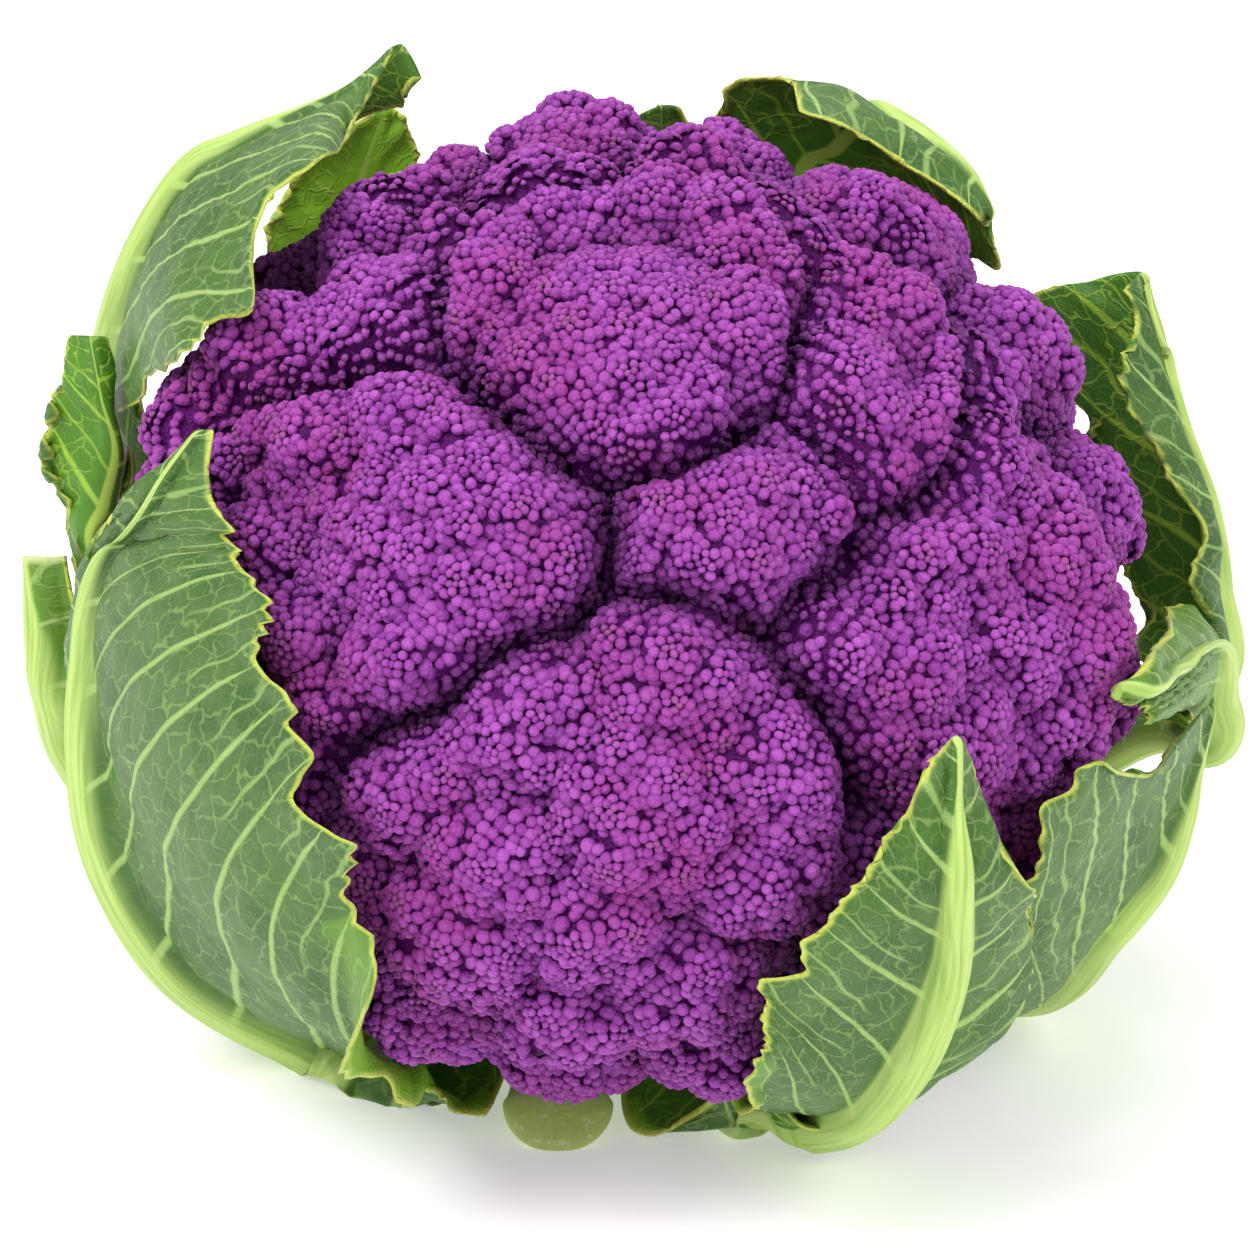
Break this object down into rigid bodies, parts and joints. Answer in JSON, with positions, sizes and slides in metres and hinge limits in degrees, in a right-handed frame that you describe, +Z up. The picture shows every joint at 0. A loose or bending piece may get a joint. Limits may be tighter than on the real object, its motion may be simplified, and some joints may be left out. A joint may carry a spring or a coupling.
{
  "type": "purple cauliflower",
  "caption": "Whole purple cauliflower: a domed head of crowded florets on a short cut stem, wrapped in ribbed green leaves.",
  "frame": {"origin": "middle of the stem's cut face, which lies on the table", "axes": "+Z up, and the head leans towards -Y, where the viewer stands"},
  "size_m": [0.2079, 0.2016, 0.1592],
  "materials": {
    "floret": "matt, beaded all over, deep purple",
    "stem": "matt pale flesh, cut across below",
    "leaf_rib": "satin pale green rib with a cut end",
    "leaf": "waxy grey green outside, dark green inside, pale veins",
    "leaf_young": "bright yellow green with pale veins"
  },
  "bodies": {
    "root": {"curd": "floret", "stem": "stem", "petiole_front": "leaf_rib", "leaf_front_left": "leaf", "leaf_front_right": "leaf", "leaf_right": "leaf", "leaf_right_trimmed": "leaf", "leaf_right_rear": "leaf", "leaf_rear_right": "leaf", "leaf_rear": "leaf", "leaf_rear_left": "leaf_young", "leaf_left_rear": "leaf", "leaf_left": "leaf", "leaf_left_trimmed": "leaf_rib"}
  },
  "joints": []
}
